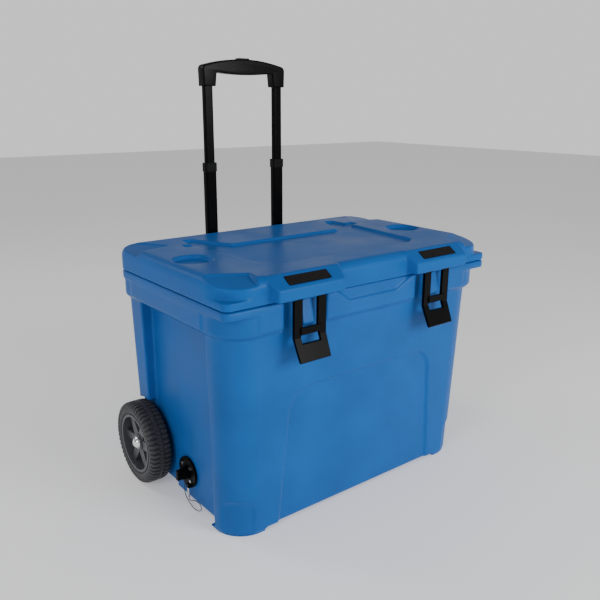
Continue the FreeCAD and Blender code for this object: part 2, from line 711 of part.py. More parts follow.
def hinge_bracket(centre):
    """Hinge ear screwed into the rear of the rim, with its knuckle inside the lid."""
    plate = box(centre - 20, centre + 20, HINGE_Y - 7, HINGE_Y + 7, 396, HINGE_Z)
    knuckle = cylinder(KNUCKLE_R, centre - 20, centre + 20, HINGE_Y, HINGE_Z)
    ear = plate.fuse(knuckle).cut(cylinder(HINGE_PIN_R, centre - 25, centre + 25, HINGE_Y, HINGE_Z))
    for side in (-10, 10):
        hole = Part.makeCylinder(2.8, 30, Vector(centre + side, HINGE_Y - 15, 414), Vector(0, 1, 0))
        sink = Part.makeCylinder(5.5, 10, Vector(centre + side, HINGE_Y + 3, 414), Vector(0, 1, 0))
        ear = ear.cut(hole).cut(sink)
    return ear.removeSplitter()


def hinge_pin(centre):
    return cylinder(HINGE_PIN_R, centre - 32, centre + 32, HINGE_Y, HINGE_Z)


def rear_screw(x, y, z, length, head_r):
    """A pan-head screw driven towards the front, its head's underside at y."""
    shank = Part.makeCylinder(2.5, length + 0.5, Vector(x, y - length, z), Vector(0, 1, 0))
    head = Part.makeCylinder(head_r, 2.6, Vector(x, y, z), Vector(0, 1, 0))
    return shank.fuse(head).removeSplitter()


def hinge_screws():
    screws = []
    for centre in (-HINGE_X, HINGE_X):
        for side in (-10, 10):
            screws.append(rear_screw(centre + side, HINGE_Y + 3, 414, 26, 4.8))
    return Part.makeCompound(screws)


# ---- wheels, on the -X side; the other side is their mirror -------------------------------
def tyre():
    profile = [
        (-TYRE_IN, RIM_R), (-TYRE_IN, 77), (-TYRE_IN - 3, 82), (-TYRE_IN - 9, WHEEL_R),
        (-TYRE_OUT + 7, WHEEL_R), (-TYRE_OUT + 2, 82), (-TYRE_OUT, 77), (-TYRE_OUT, RIM_R),
    ]
    return revolve_about_x(profile, WHEEL_Y, WHEEL_R)


def wheel_rim():
    """Plastic rim: barrel, hub and spokes."""
    barrel = revolve_about_x(
        [(-TYRE_IN - 1, RIM_R), (-TYRE_IN - 1, RIM_R - 5), (-TYRE_OUT + 1.5, RIM_R - 5), (-TYRE_OUT + 1.5, RIM_R)],
        WHEEL_Y, WHEEL_R,
    )
    hub = cylinder(HUB_R, -HUB_OUT, -TYRE_IN, WHEEL_Y, WHEEL_R)
    web = cylinder(RIM_R - 4, -313, -309, WHEEL_Y, WHEEL_R)
    rim = barrel.fuse(hub).fuse(web)
    spoke = plan_prism(
        [(-11, WHEEL_R + 0), (11, WHEEL_R + 0), (7, WHEEL_R + RIM_R - 4), (-7, WHEEL_R + RIM_R - 4)], 0, 14
    )
    spoke.rotate(Vector(0, 0, 0), Vector(1, 0, 0), 90)
    spoke.rotate(Vector(0, 0, 0), Vector(0, 0, 1), 90)
    for index in range(SPOKES):
        turned = spoke.copy()
        turned.translate(Vector(-326, WHEEL_Y, 0))
        turned.rotate(Vector(0, WHEEL_Y, WHEEL_R), Vector(1, 0, 0), 30 + index * 360 / SPOKES)
        rim = rim.fuse(turned)
    bore = cylinder(BUSH_R, -TYRE_OUT - 5, -TYRE_IN + 5, WHEEL_Y, WHEEL_R)
    return rim.cut(bore).removeSplitter()


def wheel_bush():
    sleeve = cylinder(BUSH_R, -HUB_OUT, -TYRE_IN, WHEEL_Y, WHEEL_R)
    return sleeve.cut(cylinder(AXLE_R + RUNNING, -350, -280, WHEEL_Y, WHEEL_R))


def ring(radius, bore, x0, x1):
    """A flat washer about the wheel's axle."""
    return cylinder(radius, x0, x1, WHEEL_Y, WHEEL_R).cut(cylinder(bore, x0 - 1, x1 + 1, WHEEL_Y, WHEEL_R))


def axle_bolt():
    """Shoulder bolt with a domed head."""
    shank = cylinder(AXLE_R, -330.5, -267, WHEEL_Y, WHEEL_R)
    head_r = 12.0
    height = AXLE_HEAD_END - 330.0
    sphere_r = (head_r * head_r + height * height) / (2 * height)
    sphere = Part.makeSphere(sphere_r, Vector(-AXLE_HEAD_END + sphere_r, WHEEL_Y, WHEEL_R))
    dome = sphere.common(cylinder(head_r, -AXLE_HEAD_END - 1, -330, WHEEL_Y, WHEEL_R))
    return shank.fuse(dome).removeSplitter()


def axle_insert():
    """Brass insert moulded into the wall."""
    barrel = cylinder(9, -WELL_FLOOR_X, -WELL_FLOOR_X + 22, WHEEL_Y, WHEEL_R)
    return barrel.cut(cylinder(AXLE_R, -WELL_FLOOR_X - 1, -266, WHEEL_Y, WHEEL_R))


# ---- pull handle, on the +X side unless a side is given ------------------------------------
def outer_tube(x):
    return hollow_tube(OUTER, grown(OUTER, -TUBE_WALL), x, *OUTER_SPAN)


def outer_collar(x):
    """Guide collar on the mouth of the fixed tube."""
    outside = (34.0, 2 * (REAR_EXTREME - TUBE_Y))
    sleeve = tube_section(outside, x, 424, 441, 5)
    sleeve = sleeve.cut(tube_section(OUTER, x, 423, OUTER_SPAN[1], OUTER[1] * 0.28))
    return sleeve.cut(tube_section(grown(MIDDLE, SLIDE_GAP), x, 430, 445, MIDDLE[1] * 0.28))


def middle_tube(x):
    tube = hollow_tube(MIDDLE, grown(MIDDLE, -TUBE_WALL), x, *MIDDLE_SPAN)
    inward = -1 if x > 0 else 1
    detent = Part.makeCylinder(2.2, 8, Vector(x + inward * (MIDDLE[0] / 2 - 4), TUBE_Y, 502), Vector(inward, 0, 0))
    return tube.cut(detent)


def middle_collar(x):
    outside = (28.5, 18.5)
    sleeve = tube_section(outside, x, 610, MIDDLE_TOP, 4.8)
    sleeve = sleeve.cut(tube_section(MIDDLE, x, 609, MIDDLE_SPAN[1], MIDDLE[1] * 0.28))
    return sleeve.cut(tube_section(grown(INNER, SLIDE_GAP), x, 615, 630, INNER[1] * 0.28))


def slide_guide(tube, bore, x, z0, z1):
    """Plastic shoe round the foot of a sliding tube, running inside the next tube."""
    outside = grown(grown(bore, -TUBE_WALL), -SLIDE_GAP)
    corner = bore[1] * 0.28 - TUBE_WALL + 0.2
    return tube_section(outside, x, z0, z1, corner).cut(tube_section(tube, x, z0 - 1, z1 + 1, tube[1] * 0.28))


def inner_tube(x):
    return hollow_tube(INNER, grown(INNER, -TUBE_WALL), x, *INNER_SPAN)


def grip_outline():
    """Closed outline of the grip seen from the front."""
    y = TUBE_Y - GRIP_DEPTH / 2
    shoulder = (GRIP_X - 9, 826.0)
    cheek = (GRIP_X, 815.0)
    socket_in = 73.0

    def point(x, z):
        return Vector(x, y, z)

    corner_mid = (GRIP_X - 2.6, 822.6)
    under_end = (socket_in - 3, GRIP_UNDER + 3)
    edges = [
        Part.Arc(point(-shoulder[0], shoulder[1]), point(0, GRIP_CROWN), point(*shoulder)).toShape(),
        Part.Arc(point(*shoulder), point(*corner_mid), point(*cheek)).toShape(),
        Part.LineSegment(point(*cheek), point(GRIP_X - 1, GRIP_BASE)).toShape(),
        Part.LineSegment(point(GRIP_X - 1, GRIP_BASE), point(socket_in, GRIP_BASE)).toShape(),
        Part.LineSegment(point(socket_in, GRIP_BASE), point(*under_end)).toShape(),
        Part.Arc(point(*under_end), point(0, GRIP_UNDER - 1), point(-under_end[0], under_end[1])).toShape(),
        Part.LineSegment(point(-under_end[0], under_end[1]), point(-socket_in, GRIP_BASE)).toShape(),
        Part.LineSegment(point(-socket_in, GRIP_BASE), point(-GRIP_X + 1, GRIP_BASE)).toShape(),
        Part.LineSegment(point(-GRIP_X + 1, GRIP_BASE), point(-cheek[0], cheek[1])).toShape(),
        Part.Arc(
            point(-cheek[0], cheek[1]), point(-corner_mid[0], corner_mid[1]), point(-shoulder[0], shoulder[1])
        ).toShape(),
    ]
    return Part.Wire(edges)


def grip():
    body = Part.Face(grip_outline()).extrude(Vector(0, GRIP_DEPTH, 0))
    for x in (-TUBE_X, TUBE_X):
        body = body.cut(tube_section(INNER, x, GRIP_BASE - 1, INNER_SPAN[1] + 1, INNER[1] * 0.28))
        body = body.cut(box(x - 4, x + 4, TUBE_Y - 4, TUBE_Y + 4, INNER_SPAN[1], 822.5))
    body = body.cut(box(-93, 93, TUBE_Y - 4.5, TUBE_Y + 4.5, 811, 822.5))
    body = body.cut(box(-14, 14, TUBE_Y - 7, TUBE_Y + 7, 824, 845))
    body = body.cut(box(-5, 5, TUBE_Y - 4.5, TUBE_Y + 4.5, 810, 826))
    return body


def release_button():
    cap = box(-13.5, 13.5, TUBE_Y - 6.5, TUBE_Y + 6.5, 828.5, BUTTON_TOP)
    edges = [e for e in cap.Edges if e.BoundBox.ZMin > BUTTON_TOP - 0.1]
    cap = cap.makeFillet(2, edges)
    stem = box(-4, 4, TUBE_Y - 3.5, TUBE_Y + 3.5, 822, 829)
    return cap.fuse(stem).removeSplitter()


def release_yoke():
    """Cross bar under the button with a rod down each inner tube to its lock."""
    bar = box(-92, 92, TUBE_Y - 3.5, TUBE_Y + 3.5, 816, 822)
    for x in (-TUBE_X, TUBE_X):
        bar = bar.fuse(Part.makeCylinder(2.5, 817 - 580, Vector(x, TUBE_Y, 580)))
    return bar.removeSplitter()


def button_spring():
    """Compression spring between the grip and the cross bar."""
    wire_r = 0.5
    coil_r = 3.0
    helix = Part.makeHelix(1.6, 4.8, coil_r)
    section = Part.Wire(Part.makeCircle(wire_r, Vector(coil_r, 0, 0), Vector(0, 1, 0)))
    spring = Part.Wire(helix.Edges).makePipeShell([section], True, True)
    spring.translate(Vector(0, TUBE_Y, 810.6))
    return spring


def handle_upper_bracket():
    """Cross member that holds the fixed tubes to the back of the band."""
    block = box(-112, 112, RIM_REAR - BAND_INSET, REAR_EXTREME, 396, 420)
    edges = [e for e in block.Edges if e.BoundBox.YMin > REAR_EXTREME - 1 and e.BoundBox.ZLength > 1]
    block = block.makeFillet(8, edges)
    for x in (-TUBE_X, TUBE_X):
        block = block.cut(tube_section(OUTER, x, 390, 430, OUTER[1] * 0.28))
    block = block.cut(box(-64, 64, 208, REAR_EXTREME + 1, 390, 430))
    return block


def handle_lower_bracket():
    """Foot bracket that closes the fixed tubes' lower ends."""
    wall = WALL_BASE_REAR + 1.2
    block = box(-112, 112, wall, REAR_EXTREME, 30, 62)
    edges = [e for e in block.Edges if e.BoundBox.YMin > REAR_EXTREME - 1 and e.BoundBox.ZLength > 1]
    block = block.makeFillet(8, edges)
    for x in (-TUBE_X, TUBE_X):
        block = block.cut(tube_section(OUTER, x, OUTER_SPAN[0], 70, OUTER[1] * 0.28))
    return block.cut(box(-64, 64, 194, REAR_EXTREME + 1, 20, 70))


def handle_screws():
    screws = []
    for x in (-50, -20, 20, 50):
        screws.append(rear_screw(x, 208, 408, 16, 5))
        screws.append(rear_screw(x, 194, 46, 17, 5))
    return Part.makeCompound(screws)


# ---- drain ---------------------------------------------------------------------------------
def drain_flange():
    """Flange plate with the drain tube, outside the end wall."""
    plate = cylinder(FLANGE_R, -END_FLOOR_X - 5.5, -END_FLOOR_X - 1.5, DRAIN_Y, DRAIN_Z)
    tube = cylinder(DRAIN_R, -END_FLOOR_X - 9, -238, DRAIN_Y, DRAIN_Z)
    collar = cylinder(13.5, -END_FLOOR_X - 9, -END_FLOOR_X - 5, DRAIN_Y, DRAIN_Z)
    lug = box(-END_FLOOR_X - 12, -END_FLOOR_X - 3, -12, -4, 36, 44)
    part = plate.fuse(tube).fuse(collar).fuse(lug)
    part = part.cut(cylinder(DRAIN_BORE_R, -310, -230, DRAIN_Y, DRAIN_Z))
    for y, z in screw_places():
        part = part.cut(cylinder(2.3, -310, -280, y, z))
    return part.removeSplitter()


def screw_places():
    """The four flange screws, on a square round the drain."""
    places = []
    for side in (-14.5, 14.5):
        for height in (-14.0, 14.0):
            places.append((DRAIN_Y + side, DRAIN_Z + height))
    return places


def drain_gasket():
    washer = cylinder(FLANGE_R - 2, -END_FLOOR_X - 1.5, -END_FLOOR_X, DRAIN_Y, DRAIN_Z)
    washer = washer.cut(cylinder(DRAIN_R + 0.2, -310, -280, DRAIN_Y, DRAIN_Z))
    for y, z in screw_places():
        washer = washer.cut(cylinder(2.3, -310, -280, y, z))
    return washer


def drain_screws():
    screws = []
    for y, z in screw_places():
        shank = cylinder(2.0, -END_FLOOR_X - 6, -END_FLOOR_X + 4.5, y, z)
        head = cylinder(3.6, -END_FLOOR_X - 8, -END_FLOOR_X - 5.5, y, z)
        screws.append(shank.fuse(head).removeSplitter())
    return Part.makeCompound(screws)


def drain_nut():
    """Lock nut on the drain tube, inside the cavity."""
    nut = cylinder(14, -248.5, -242, DRAIN_Y, DRAIN_Z + 4)
    return nut.cut(cylinder(DRAIN_R + 0.1, -260, -230, DRAIN_Y, DRAIN_Z))


def drain_plug():
    """Turn plug with a finger bar."""
    stem = cylinder(DRAIN_BORE_R - 0.35, -END_FLOOR_X - 9.4, -262, DRAIN_Y, DRAIN_Z)
    stem = stem.cut(ring_at_drain(DRAIN_BORE_R + 1, 6.2, -272, -269))
    cap = cylinder(12, -END_FLOOR_X - 17, -END_FLOOR_X - 9.4, DRAIN_Y, DRAIN_Z)
    bar = box(-END_FLOOR_X - 28, -END_FLOOR_X - 16, DRAIN_Y - 3.5, DRAIN_Y + 3.5, DRAIN_Z - 10, DRAIN_Z + 10)
    return stem.fuse(cap).fuse(bar).removeSplitter()


def ring_at_drain(radius, bore, x0, x1):
    outer = cylinder(radius, x0, x1, DRAIN_Y, DRAIN_Z)
    return outer.cut(cylinder(bore, x0 - 1, x1 + 1, DRAIN_Y, DRAIN_Z))


def drain_plug_seal():
    return ring_at_drain(DRAIN_BORE_R - 0.02, 6.2, -272, -269)


def crimp():
    """Metal ferrule that hangs from the flange's lug and holds the tether's loop."""
    return Part.makeCylinder(2.6, 24, Vector(-END_FLOOR_X - 9.5, -8, 12), Vector(0, 0, 1))


def tether_route():
    """Points of the tether, from the flange's edge, round its loop, to the ferrule."""
    return [
        (-288.0, 15.0, 34.0), (-290.0, 14.5, 26.0), (-293.0, 9.0, 18.0), (-294.5, 0.0, 11.5),
        (-296.0, -18.0, 5.0), (-297.0, -34.0, 3.5), (-297.0, -52.0, 6.5), (-296.5, -62.0, 15.0),
        (-296.0, -58.0, 23.0), (-295.0, -44.0, 23.0), (-294.0, -26.0, 17.0), (-293.5, -13.0, 8.5),
        (-293.5, -8.0, 12.0),
    ]


def rounded_path(points):
    """Straight runs joined by tangent arcs, each as large as its two runs allow."""
    corners = [Vector(*point) for point in points]
    edges = []
    radii = []
    start = corners[0]
    for before, corner, after in zip(corners, corners[1:], corners[2:]):
        back = before.sub(corner)
        ahead = after.sub(corner)
        reach = 0.45 * min(back.Length, ahead.Length)
        turn = math.pi - back.getAngle(ahead)
        radius = reach / math.tan(turn / 2)
        back.normalize()
        ahead.normalize()
        first = corner.add(back * reach)
        last = corner.add(ahead * reach)
        inward = back.add(ahead)
        inward.normalize()
        middle = corner.add(inward * (radius / math.cos(turn / 2) - radius))
        edges.append(Part.LineSegment(start, first).toShape())
        edges.append(Part.Arc(first, middle, last).toShape())
        radii.append(round(radius, 1))
        start = last
    edges.append(Part.LineSegment(start, corners[-1]).toShape())
    return Part.Wire(edges), radii


def tether():
    """Wire tether of the drain plug, one tube along its route."""
    path, radii = rounded_path(tether_route())
    start = path.Edges[0]
    direction = start.tangentAt(start.FirstParameter)
    section = Part.Wire(Part.makeCircle(WIRE_D / 2, start.valueAt(start.FirstParameter), direction))
    wire = path.makePipeShell([section], True, True)
    expected = math.pi * (WIRE_D / 2) ** 2 * path.Length
    print("tether radii", radii, "length", round(path.Length, 1))
    print("tether volume", round(wire.Volume, 1), "expected", round(expected, 1))
    return wire


def sides(name, make, mirror_left=False):
    """Two nodes of one piece: name_left at -X and name_right at +X."""
    if mirror_left:
        left = make()
        return {name + "_left": left, name + "_right": mirrored(left)}
    return {name + "_left": make(-1), name + "_right": make(1)}


def build():
    foam = body_foam()
    top_foam = lid_foam()
    nodes = {
        "body_shell": body_shell(foam),
        "body_foam": foam_boards(foam),
        "foot_pads": pair(foot_pad()),
        "axle_washers": pair(ring(13, AXLE_R + 0.1, -330, -328.6)),
        "lid_shell": lid_shell(top_foam),
        "lid_foam": top_foam,
        "lid_gasket": gasket_ring(268.5, 285.5, RIM_TOP + 0.3, LID_BOTTOM + 2),
        "hinge_screws": hinge_screws(),
        "handle_upper_bracket": handle_upper_bracket(),
        "handle_lower_bracket": handle_lower_bracket(),
        "handle_screws": handle_screws(),
        "grip": grip(),
        "release_button": release_button(),
        "release_yoke": release_yoke(),
        "button_spring": button_spring(),
        "drain_flange": drain_flange(),
        "drain_gasket": drain_gasket(),
        "drain_screws": drain_screws(),
        "drain_nut": drain_nut(),
        "drain_plug": drain_plug(),
        "drain_plug_seal": drain_plug_seal(),
        "lanyard_crimp": crimp(),
        "drain_lanyard": tether(),
    }
    nodes.update(sides("lid_pad", lambda side: lid_pad(side * BOSS_X)))
    nodes.update(sides("latch", lambda side: latch(side * LATCH_X)))
    nodes.update(sides("latch_pin", lambda side: latch_pin(side * LATCH_X)))
    nodes.update(sides("hinge_bracket", lambda side: hinge_bracket(side * HINGE_X)))
    nodes.update(sides("hinge_pin", lambda side: hinge_pin(side * HINGE_X)))
    nodes.update(sides("tyre", tyre, True))
    nodes.update(sides("wheel_rim", wheel_rim, True))
    nodes.update(sides("wheel_bush", wheel_bush, True))
    nodes.update(sides("axle_bolt", axle_bolt, True))
    nodes.update(sides("axle_insert", axle_insert, True))
    nodes.update(sides("axle_spacer", lambda: ring(15, AXLE_R + 0.1, -292.2, -WELL_FLOOR_X), True))
    nodes.update(sides("outer_tube", lambda side: outer_tube(side * TUBE_X)))
    nodes.update(sides("outer_collar", lambda side: outer_collar(side * TUBE_X)))
    nodes.update(sides("middle_tube", lambda side: middle_tube(side * TUBE_X)))
    nodes.update(sides("middle_collar", lambda side: middle_collar(side * TUBE_X)))
    nodes.update(sides("middle_guide", lambda side: slide_guide(MIDDLE, OUTER, side * TUBE_X, 375, 391)))
    nodes.update(sides("inner_tube", lambda side: inner_tube(side * TUBE_X)))
    nodes.update(sides("inner_guide", lambda side: slide_guide(INNER, MIDDLE, side * TUBE_X, 560, 576)))
    return nodes


def main():
    os.makedirs("parts", exist_ok=True)
    for name, shape in build().items():
        shape.exportStep(os.path.join("parts", name + ".step"))
        print(name, "valid" if shape.isValid() else "INVALID", len(shape.Solids), round(shape.Volume / 1000, 1))


main()
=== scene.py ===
import json
import math

import bpy
import bmesh
from mathutils import Matrix, Vector


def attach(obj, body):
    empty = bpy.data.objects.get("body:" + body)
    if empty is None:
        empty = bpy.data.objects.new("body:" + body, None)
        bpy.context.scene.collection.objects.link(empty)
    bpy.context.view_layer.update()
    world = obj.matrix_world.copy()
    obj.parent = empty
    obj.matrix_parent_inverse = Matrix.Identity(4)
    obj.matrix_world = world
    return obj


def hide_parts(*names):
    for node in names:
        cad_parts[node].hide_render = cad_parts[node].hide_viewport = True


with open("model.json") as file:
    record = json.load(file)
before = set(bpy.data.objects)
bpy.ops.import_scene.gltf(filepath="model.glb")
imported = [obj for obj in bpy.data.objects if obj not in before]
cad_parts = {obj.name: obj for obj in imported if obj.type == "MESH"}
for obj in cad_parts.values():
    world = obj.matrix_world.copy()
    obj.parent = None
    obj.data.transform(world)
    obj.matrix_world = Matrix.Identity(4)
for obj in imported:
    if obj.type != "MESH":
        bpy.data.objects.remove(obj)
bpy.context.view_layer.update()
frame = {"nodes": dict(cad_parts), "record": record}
NODES = frame["nodes"]
MM = 0.001
SHARP = math.radians(35)                 # edges sharper than this stay crisp or get a bevel
VIEW_YAW, VIEW_PITCH, VIEW_ROLL = 0.667615, 0.280636, 0.003688
VIEW_PLACE = (-0.8546, -1.0658, 0.7531)
FLOOR_REACH = 9.0
SKY_PALE_BELOW, SKY_DARK_ABOVE = 0.14, 0.30     # heights of the sky's two tones, as sines of elevation
SKY_DARK = 0.36
WHEEL_CENTRE = Vector((0, 0.1344, 0.0844))
TREAD_STEPS = 960                        # points round a tyre
LUGS, LUG_SHARE, LUG_CUT = 52, 0.56, 3.4        # outer row: count, raised share, depth in mm
INNER_CUT = 3.2
FINE_LUGS = 80
LUG_EDGE = 0.07                          # share of a lug's pitch that its flank takes
GRIP_MIDDLE_Y = 218 * MM                 # middle plane of the grip
GRIP_SLOT_HALF = 8.5 * MM                # nothing nearer to that plane is rounded
GRIP_ROUND = 3.4 * MM
TETHER_LENGTH, TETHER_D = 0.156, 0.0016


# ---- materials -----------------------------------------------------------------------------
def new_material(name, base, rough, metal=0.0, spread=0.12, scale=40.0, grain=900.0, bump=0.15,
                 bump_size=0.0004, gloss=0.2, rough_spread=0.08):
    """A surface with a broad tone change, a fine grain, and a roughness that varies with both."""
    mat = bpy.data.materials.new(name)
    mat.use_nodes = True
    tree = mat.node_tree
    shader = tree.nodes["Principled BSDF"]
    coord = tree.nodes.new("ShaderNodeTexCoord")
    broad = tree.nodes.new("ShaderNodeTexNoise")
    broad.inputs["Scale"].default_value = scale
    broad.inputs["Detail"].default_value = 5.0
    tree.links.new(coord.outputs["Object"], broad.inputs["Vector"])
    ramp = tree.nodes.new("ShaderNodeValToRGB")
    low = [c * (1 - spread) for c in base]
    high = [min(1.0, c * (1 + spread)) for c in base]
    ramp.color_ramp.elements[0].position = 0.3
    ramp.color_ramp.elements[0].color = (*low, 1)
    ramp.color_ramp.elements[1].position = 0.7
    ramp.color_ramp.elements[1].color = (*high, 1)
    tree.links.new(broad.outputs["Fac"], ramp.inputs["Fac"])
    tree.links.new(ramp.outputs["Color"], shader.inputs["Base Color"])
    spread_map = tree.nodes.new("ShaderNodeMapRange")
    spread_map.inputs["From Min"].default_value = 0.3
    spread_map.inputs["From Max"].default_value = 0.7
    spread_map.inputs["To Min"].default_value = max(0.02, rough - rough_spread)
    spread_map.inputs["To Max"].default_value = min(1.0, rough + rough_spread)
    tree.links.new(broad.outputs["Fac"], spread_map.inputs["Value"])
    tree.links.new(spread_map.outputs["Result"], shader.inputs["Roughness"])
    fine = tree.nodes.new("ShaderNodeTexNoise")
    fine.inputs["Scale"].default_value = grain
    fine.inputs["Detail"].default_value = 3.0
    tree.links.new(coord.outputs["Object"], fine.inputs["Vector"])
    relief = tree.nodes.new("ShaderNodeBump")
    relief.inputs["Strength"].default_value = bump
    relief.inputs["Distance"].default_value = bump_size
    tree.links.new(fine.outputs["Fac"], relief.inputs["Height"])
    tree.links.new(relief.outputs["Normal"], shader.inputs["Normal"])
    shader.inputs["Metallic"].default_value = metal
    shader.inputs["Specular IOR Level"].default_value = 0.5 if metal else gloss
    return mat


BLUE = (0.008, 0.096, 0.345)
MATS = {
    "tub_plastic": new_material("tub_plastic", BLUE, 0.4, spread=0.1, scale=11, grain=520, bump=0.35,
                                bump_size=0.0006, gloss=0.15),
    "lid_plastic": new_material("lid_plastic", BLUE, 0.38, spread=0.07, scale=9, grain=520, bump=0.22,
                                bump_size=0.0005, gloss=0.1),
    "foam": new_material("foam", (0.75, 0.66, 0.42), 0.9, scale=120, grain=1500, bump=0.6),
    "latch_plastic": new_material("latch_plastic", (0.0028, 0.0028, 0.0028), 0.3, spread=0.06, scale=25,
                                  bump=0.08, gloss=0.06, rough_spread=0.03),
    "black_plastic": new_material("black_plastic", (0.004, 0.004, 0.0042), 0.38, spread=0.06, scale=25, bump=0.1,
                                  gloss=0.07, rough_spread=0.04),
    "pad_rubber": new_material("pad_rubber", (0.006, 0.0052, 0.0048), 0.7, scale=150, grain=1400, bump=0.9,
                               bump_size=0.0008),
    "seal_rubber": new_material("seal_rubber", (0.03, 0.03, 0.032), 0.8, scale=90, bump=0.3),
    "tyre_rubber": new_material("tyre_rubber", (0.05, 0.05, 0.055), 0.45, spread=0.08, scale=30, grain=1100,
                                bump=0.25),
    "rim_plastic": new_material("rim_plastic", (0.075, 0.075, 0.086), 0.3, spread=0.06, scale=25, bump=0.12),
    "tube_aluminium": new_material("tube_aluminium", (0.0018, 0.0018, 0.0021), 0.22, spread=0.05,
                                   scale=20, grain=2500, bump=0.02, gloss=0.05, rough_spread=0.03),
    "grip_plastic": new_material("grip_plastic", (0.003, 0.003, 0.0033), 0.3, spread=0.06, scale=25, grain=1200,
                                 bump=0.1, gloss=0.07, rough_spread=0.03),
    "steel": new_material("steel", (0.62, 0.62, 0.64), 0.28, metal=1.0, scale=220, grain=3000, bump=0.08),
    "chrome_steel": new_material("chrome_steel", (0.82, 0.83, 0.85), 0.12, metal=1.0, scale=120, bump=0.03,
                                 rough_spread=0.04),
    "brass": new_material("brass", (0.66, 0.46, 0.18), 0.3, metal=1.0, scale=160, bump=0.06),
    "bush_plastic": new_material("bush_plastic", (0.72, 0.72, 0.68), 0.45, scale=90),
    "wire_steel": new_material("wire_steel", (0.02, 0.02, 0.022), 0.4, metal=0.2, scale=400, grain=4000,
                               bump=0.5),
    "rod_aluminium": new_material("rod_aluminium", (0.7, 0.7, 0.72), 0.35, metal=1.0, scale=180, bump=0.08),
}
NODE_SLOT = {s["node"]: s["material_slot"] for s in frame["record"]["subparts"]}


def dress(obj, slot):
    obj.data.materials.clear()
    obj.data.materials.append(MATS[slot])


def softened(node, width):
    """Rounds a CAD node's sharp edges with a small bevel."""
    obj = NODES[node]
    bevel = obj.modifiers.new("soft edges", "BEVEL")
    bevel.width = width * MM
    bevel.segments = 3
    bevel.limit_method = "ANGLE"
    bevel.angle_limit = SHARP
    bevel.use_clamp_overlap = True


for node_name, node_obj in NODES.items():
    dress(node_obj, NODE_SLOT[node_name])


# ---- camera, floor and light ---------------------------------------------------------------
def camera():
    """The three-quarter view from the front, drain end nearest."""
    data = bpy.data.cameras.new("camera")
    data.lens = 41.30
    data.sensor_width = 36.0
    data.clip_end = 50
    cam = bpy.data.objects.new("camera", data)
    cam.location = VIEW_PLACE
    turn = Matrix.Rotation(-VIEW_YAW, 3, "Z") @ Matrix.Rotation(math.pi / 2 - VIEW_PITCH, 3, "X")
    cam.rotation_euler = (turn @ Matrix.Rotation(VIEW_ROLL, 3, "Z")).to_euler()
    bpy.context.collection.objects.link(cam)
    bpy.context.scene.camera = cam


def area_light(name, where, target, size, power):
    data = bpy.data.lights.new(name, "AREA")
    data.shape = "RECTANGLE"
    data.size, data.size_y = size
    data.energy = power
    lamp = bpy.data.objects.new(name, data)
    lamp.location = where
    aim = Vector(target) - Vector(where)
    lamp.rotation_euler = aim.to_track_quat("-Z", "Y").to_euler()
    bpy.context.collection.objects.link(lamp)


def pale_floor():
    """A large plain floor, slightly luminous so that it stays pale under the dark sky."""
    mesh = bpy.data.meshes.new("floor")
    r = FLOOR_REACH
    mesh.from_pydata([(-r, -r, 0), (r, -r, 0), (r, r, 0), (-r, r, 0)], [], [(0, 1, 2, 3)])
    floor = bpy.data.objects.new("floor", mesh)
    bpy.context.collection.objects.link(floor)
    pale = new_material("floor", (0.93, 0.93, 0.93), 0.85, spread=0.01, scale=3, grain=60, bump=0.02)
    shader = pale.node_tree.nodes["Principled BSDF"]
    shader.inputs["Emission Color"].default_value = (1, 1, 1, 1)
    shader.inputs["Emission Strength"].default_value = 0.25
    mesh.materials.append(pale)


def sky():
    """White low down, darker overhead, so that level tops don't wash out."""
    world = bpy.data.worlds.new("studio")
    bpy.context.scene.world = world
    world.use_nodes = True
    tree = world.node_tree
    back = tree.nodes["Background"]
    coord = tree.nodes.new("ShaderNodeTexCoord")
    split = tree.nodes.new("ShaderNodeSeparateXYZ")
    tree.links.new(coord.outputs["Generated"], split.inputs["Vector"])
    ramp = tree.nodes.new("ShaderNodeValToRGB")
    ramp.color_ramp.elements[0].position = SKY_PALE_BELOW
    ramp.color_ramp.elements[0].color = (1, 1, 1, 1)
    ramp.color_ramp.elements[1].position = SKY_DARK_ABOVE
    ramp.color_ramp.elements[1].color = (SKY_DARK, SKY_DARK, SKY_DARK, 1)
    tree.links.new(split.outputs["Z"], ramp.inputs["Fac"])
    tree.links.new(ramp.outputs["Color"], back.inputs["Color"])
    back.inputs["Strength"].default_value = 0.88


def studio():
    pale_floor()
    sky()
    area_light("key", (0.9, -2.6, 1.2), (0, 0, 0.25), (1.4, 1.2), 54)
    area_light("side", (-2.4, -1.0, 1.5), (0, 0, 0.2), (0.9, 0.9), 20)
    area_light("rim", (-1.2, 1.7, 1.9), (0, 0, 0.4), (0.8, 0.8), 10)


# ---- pieces --------------------------------------------------------------------------------
def link(name, mesh, body, slot, node):
    """Adds a piece that rides a body, wears a slot's material and stands in for a node."""
    obj = bpy.data.objects.new(name, mesh)
    bpy.context.collection.objects.link(obj)
    dress(obj, slot)
    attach(obj, body)
    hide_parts(node)


def smooth_but_sharp_edges(mesh):
    mesh.polygons.foreach_set("use_smooth", [True] * len(mesh.polygons))
    mesh.set_sharp_from_angle(angle=SHARP)


def outer_skin(node):
    """The node's mesh without the sealed hollow inside it."""
    bm = bmesh.new()
    bm.from_mesh(NODES[node].data)
    bmesh.ops.remove_doubles(bm, verts=bm.verts, dist=1e-6)
    left = set(bm.verts)
    groups = []
    while left:
        start = left.pop()
        group, queue = {start}, [start]
        while queue:
            for edge in queue.pop().link_edges:
                for vert in edge.verts:
                    if vert in left:
                        left.discard(vert)
                        group.add(vert)
                        queue.append(vert)
        groups.append(group)
    keep = max(groups, key=lambda g: max(v.co.x for v in g) - min(v.co.x for v in g))
    bmesh.ops.delete(bm, geom=[v for v in bm.verts if v not in keep], context="VERTS")
    mesh = bpy.data.meshes.new(node + "_skin")
    bm.to_mesh(mesh)
    bm.free()
    return mesh


